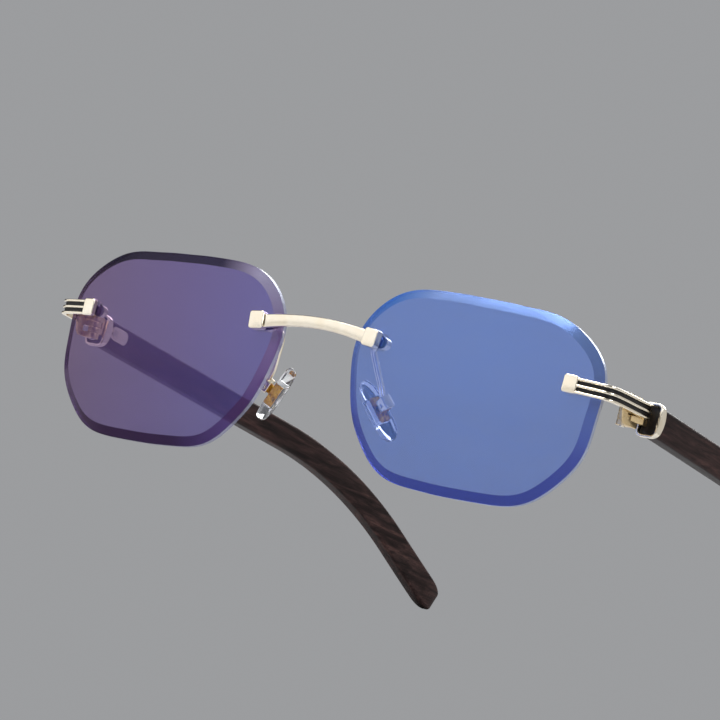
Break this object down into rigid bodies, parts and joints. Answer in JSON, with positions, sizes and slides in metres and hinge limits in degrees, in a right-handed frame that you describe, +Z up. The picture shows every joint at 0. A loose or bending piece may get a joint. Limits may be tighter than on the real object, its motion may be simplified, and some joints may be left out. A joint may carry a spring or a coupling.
{
  "type": "rimless eyeglasses",
  "caption": "Rimless eyeglasses: bevelled tinted lenses drilled to a gold bridge and ribbed endpieces, adjustable nose pads, folding wooden temples.",
  "frame": {"origin": "middle of the footprint, on the surface that the open glasses stand on", "axes": "+Y from the front towards the temple tips, +X to the right as seen from in front of the lenses, +Z up"},
  "size_m": [0.136, 0.1506, 0.0375],
  "materials": {
    "gold": "polished pale gold plate",
    "gold_satin": "satin gold plate, worn brighter on the knuckles",
    "screw_metal": "turned, gold flashed",
    "lens_tint": "clear lens with a blue-violet anti-reflective coating, polished bevel",
    "clear_plastic": "clear nylon",
    "wood": "dark brown wood, fine slanting grain, oiled",
    "clear_silicone": "clear soft silicone",
    "insert_gold": "stamped insert, amber gold"
  },
  "bodies": {
    "front": {"lens_right": "lens_tint", "lens_left": "lens_tint", "mount_stud_nasal_right": "screw_metal", "mount_stud_nasal_left": "screw_metal", "lens_bushing_nasal_right": "clear_plastic", "lens_bushing_nasal_left": "clear_plastic", "front_spacer_nasal_right": "clear_plastic", "front_spacer_nasal_left": "clear_plastic", "rear_washer_nasal_right": "clear_plastic", "rear_washer_nasal_left": "clear_plastic", "mount_nut_nasal_right": "screw_metal", "mount_nut_nasal_left": "screw_metal", "mount_stud_temporal_right": "screw_metal", "mount_stud_temporal_left": "screw_metal", "lens_bushing_temporal_right": "clear_plastic", "lens_bushing_temporal_left": "clear_plastic", "front_spacer_temporal_right": "clear_plastic", "front_spacer_temporal_left": "clear_plastic", "rear_washer_temporal_right": "clear_plastic", "rear_washer_temporal_left": "clear_plastic", "mount_nut_temporal_right": "screw_metal", "mount_nut_temporal_left": "screw_metal", "bridge": "gold", "endpiece_right": "gold", "endpiece_left": "gold", "hinge_block_right": "gold_satin", "hinge_block_left": "gold_satin", "hinge_screw_right": "screw_metal", "hinge_screw_left": "screw_metal", "pad_screw_right": "screw_metal", "pad_screw_left": "screw_metal", "pad_arm_right": "gold", "pad_arm_left": "gold"},
    "temple_left": {"temple_left": "wood", "temple_hinge_left": "gold_satin", "ferrule_left": "gold", "temple_plate_left": "gold", "temple_screw_left": "screw_metal"},
    "pad_left": {"nose_pad_left": "clear_silicone", "pad_insert_left": "insert_gold"},
    "temple_right": {"temple_right": "wood", "temple_hinge_right": "gold_satin", "ferrule_right": "gold", "temple_plate_right": "gold", "temple_screw_right": "screw_metal"},
    "pad_right": {"nose_pad_right": "clear_silicone", "pad_insert_right": "insert_gold"}
  },
  "joints": [
    {"name": "temple_fold_right", "type": "hinge", "parent": "front", "child": "temple_right", "pos_m": [0.063, -0.06073, 0.02323], "axis": [0, -0.0843, 0.9964], "range_deg": [0, 88]},
    {"name": "temple_fold_left", "type": "hinge", "parent": "front", "child": "temple_left", "pos_m": [-0.063, -0.06073, 0.02323], "axis": [0, 0.0843, -0.9964], "range_deg": [0, 79]},
    {"name": "pad_rock_right", "type": "hinge", "parent": "front", "child": "pad_right", "pos_m": [0.01409, -0.06535, 0.01588], "axis": [-0.2188, -0.8188, -0.5307], "range_deg": [-10, 10]},
    {"name": "pad_rock_left", "type": "hinge", "parent": "front", "child": "pad_left", "pos_m": [-0.01409, -0.06535, 0.01588], "axis": [0.2188, -0.8188, -0.5307], "range_deg": [-10, 10]}
  ]
}
